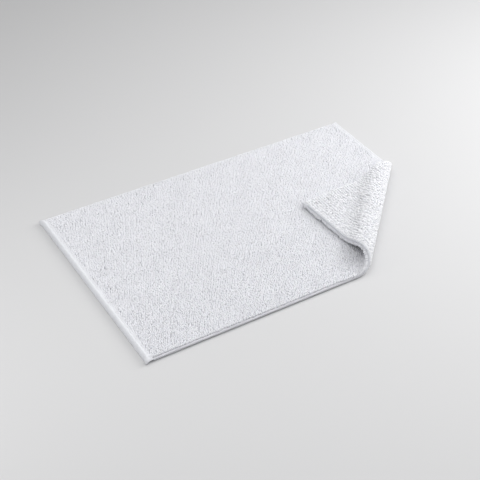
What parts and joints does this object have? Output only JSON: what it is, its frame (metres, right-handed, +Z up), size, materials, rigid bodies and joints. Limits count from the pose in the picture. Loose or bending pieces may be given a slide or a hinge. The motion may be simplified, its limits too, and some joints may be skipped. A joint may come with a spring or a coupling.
{
  "type": "bath mat",
  "caption": "Rectangular looped-pile cotton bath mat lying flat, one corner turned over onto it in a soft roll that opens flat.",
  "frame": {"origin": "on the floor, under the middle of the mat", "axes": "+X along the mat towards the turned corner's end, +Y towards the far long side, +Z up out of the pile"},
  "size_m": [0.8515, 0.5514, 0.0552],
  "materials": {
    "top_pile": "fine cotton loop pile, cool white, matt",
    "under_pile": "coarser curled cotton loop pile, cool white, matt",
    "ground_cloth": "plain-woven cotton ground, white, matt",
    "hem": "smooth woven cotton band, white, matt",
    "seam_thread": "twisted white sewing thread, slight sheen"
  },
  "bodies": {
    "root": {"base_ground_cloth": "ground_cloth", "base_top_pile": "top_pile", "base_under_pile": "under_pile", "base_near_hem": "hem", "base_right_hem": "hem", "base_near_seam": "seam_thread", "base_right_seam": "seam_thread", "base_far_hem": "hem", "base_left_hem": "hem", "base_far_seam": "seam_thread", "base_left_seam": "seam_thread"},
    "roll_1": {"roll_1_ground_cloth": "ground_cloth", "roll_1_top_pile": "top_pile", "roll_1_under_pile": "under_pile", "roll_1_near_hem": "hem", "roll_1_right_hem": "hem"},
    "roll_2": {"roll_2_ground_cloth": "ground_cloth", "roll_2_top_pile": "top_pile", "roll_2_under_pile": "under_pile", "roll_2_near_hem": "hem", "roll_2_right_hem": "hem"},
    "roll_3": {"roll_3_ground_cloth": "ground_cloth", "roll_3_top_pile": "top_pile", "roll_3_under_pile": "under_pile", "roll_3_near_hem": "hem", "roll_3_right_hem": "hem"},
    "roll_4": {"roll_4_ground_cloth": "ground_cloth", "roll_4_top_pile": "top_pile", "roll_4_under_pile": "under_pile", "roll_4_near_hem": "hem", "roll_4_right_hem": "hem"},
    "roll_5": {"roll_5_ground_cloth": "ground_cloth", "roll_5_top_pile": "top_pile", "roll_5_under_pile": "under_pile", "roll_5_near_hem": "hem", "roll_5_right_hem": "hem"},
    "neck": {"neck_ground_cloth": "ground_cloth", "neck_top_pile": "top_pile", "neck_under_pile": "under_pile", "neck_near_hem": "hem", "neck_right_hem": "hem"},
    "flap": {"flap_ground_cloth": "ground_cloth", "flap_top_pile": "top_pile", "flap_under_pile": "under_pile", "flap_near_hem": "hem", "flap_right_hem": "hem", "flap_near_seam": "seam_thread", "flap_right_seam": "seam_thread"}
  },
  "joints": [
    {"name": "unroll_1", "type": "hinge", "parent": "root", "child": "roll_1", "pos_m": [0.26677, -0.10906, 0.0073], "axis": [0.691, 0.7228, 0], "range_deg": [0, 36]},
    {"name": "unroll_2", "type": "hinge", "parent": "roll_1", "child": "roll_2", "pos_m": [0.27448, -0.11644, 0.01506], "axis": [0.691, 0.7228, 0], "range_deg": [0, 36]},
    {"name": "unroll_3", "type": "hinge", "parent": "roll_2", "child": "roll_3", "pos_m": [0.27743, -0.11925, 0.02761], "axis": [0.691, 0.7228, 0], "range_deg": [0, 36]},
    {"name": "unroll_4", "type": "hinge", "parent": "roll_3", "child": "roll_4", "pos_m": [0.27448, -0.11644, 0.04015], "axis": [0.691, 0.7228, 0], "range_deg": [0, 36]},
    {"name": "unroll_5", "type": "hinge", "parent": "roll_4", "child": "roll_5", "pos_m": [0.26677, -0.10906, 0.04791], "axis": [0.691, 0.7228, 0], "range_deg": [0, 36]},
    {"name": "unroll_6", "type": "hinge", "parent": "roll_5", "child": "neck", "pos_m": [0.25723, -0.09994, 0.04791], "axis": [0.691, 0.7228, 0], "range_deg": [0, 36]},
    {"name": "unroll_heel", "type": "hinge", "parent": "neck", "child": "flap", "pos_m": [0.23364, -0.07739, 0.0242], "axis": [-0.691, -0.7228, 0], "range_deg": [0, 36]}
  ],
  "couplings": [
    {"joint": "unroll_2", "follows": "unroll_1", "ratio": 1},
    {"joint": "unroll_3", "follows": "unroll_1", "ratio": 1},
    {"joint": "unroll_4", "follows": "unroll_1", "ratio": 1},
    {"joint": "unroll_5", "follows": "unroll_1", "ratio": 1},
    {"joint": "unroll_6", "follows": "unroll_1", "ratio": 1},
    {"joint": "unroll_heel", "follows": "unroll_1", "ratio": 1}
  ]
}
